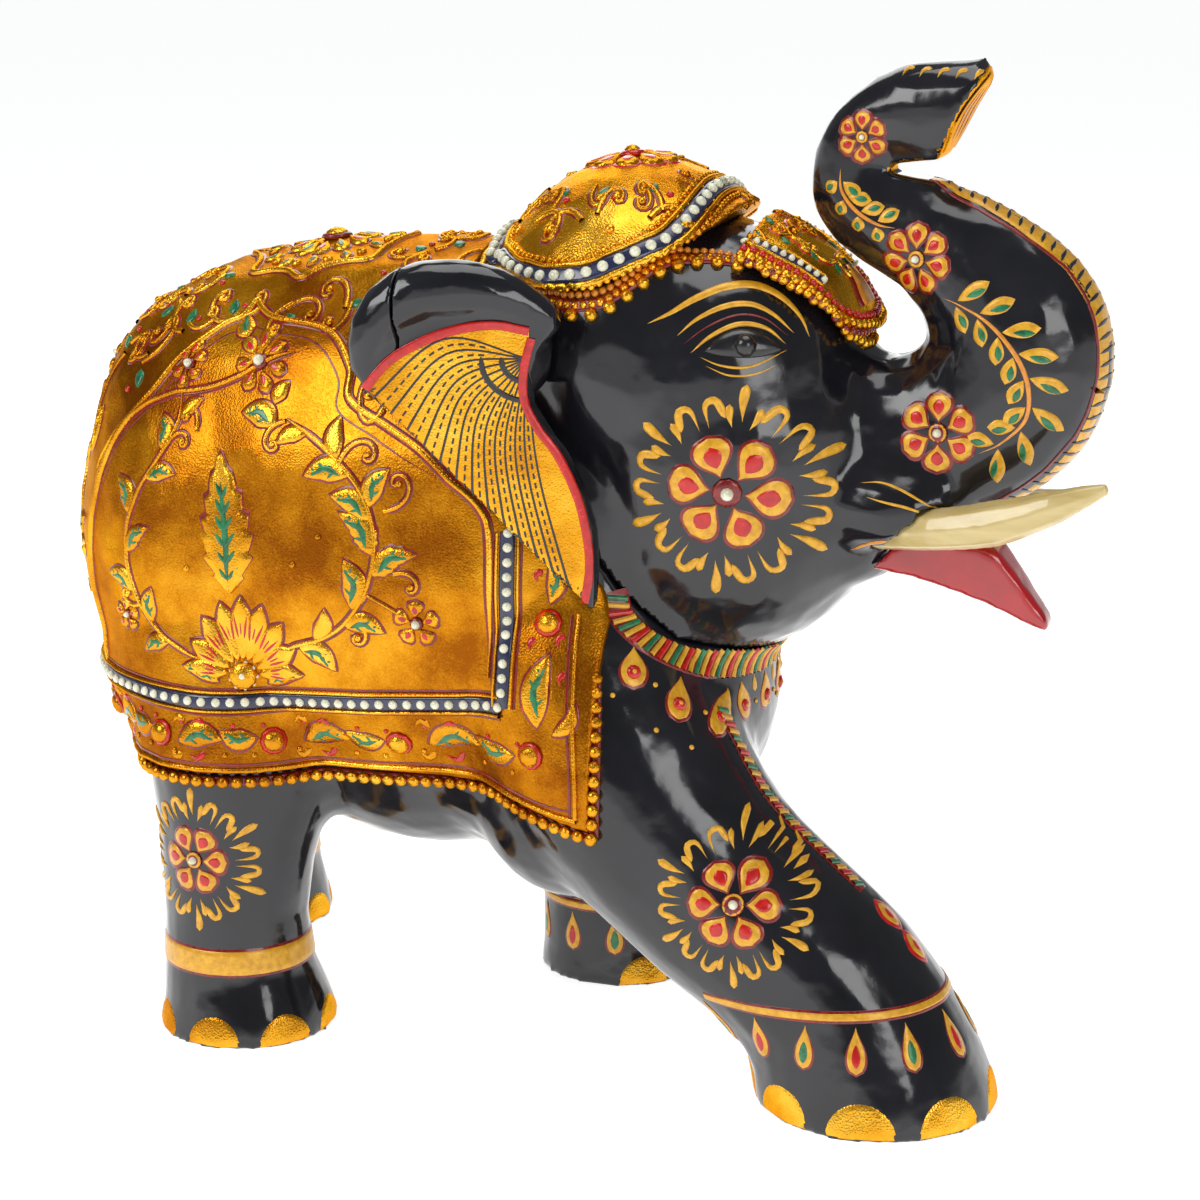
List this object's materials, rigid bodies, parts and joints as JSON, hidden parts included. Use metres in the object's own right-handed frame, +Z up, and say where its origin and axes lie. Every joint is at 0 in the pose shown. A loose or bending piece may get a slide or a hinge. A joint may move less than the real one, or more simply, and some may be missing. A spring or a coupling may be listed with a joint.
{
  "type": "elephant figurine",
  "caption": "Standing carved wooden elephant figurine with a raised, curled trunk, gilded saddle cloth and headdress, fitted ears and tusks.",
  "frame": {"origin": "on the ground under the middle of the figure's bounding box", "axes": "+X towards the elephant's face, +Y towards its own left side, +Z up"},
  "size_m": [0.2222, 0.1118, 0.2036],
  "materials": {
    "black_lacquer": "high-gloss black lacquer over carved wood",
    "gold_leaf": "gold leaf over gesso and wood",
    "bright_gold": "bright gold paint over gesso",
    "navy_enamel": "navy enamel paint over gesso",
    "ivory_paint": "cream gloss paint over wood",
    "lip_red": "red gloss paint over wood",
    "bare_wood": "unfinished wood"
  },
  "bodies": {
    "root": {"torso_block": "black_lacquer", "head_block": "black_lacquer", "tail": "black_lacquer", "saddle_cloth": "gold_leaf", "ear_right": "gold_leaf", "ear_left": "gold_leaf", "ear_tip_right": "gold_leaf", "ear_tip_left": "gold_leaf", "headdress_cap": "bright_gold", "forehead_panel": "bright_gold", "hem_fringe": "bright_gold", "headdress_fringe_right": "bright_gold", "headdress_fringe_left": "bright_gold", "collar_band": "bright_gold", "saddle_medallion": "bright_gold", "pearl_band": "navy_enamel", "headdress_band": "navy_enamel", "tusk_right": "ivory_paint", "tusk_left": "ivory_paint", "lower_lip": "lip_red", "neck_dowel": "bare_wood"}
  },
  "joints": []
}
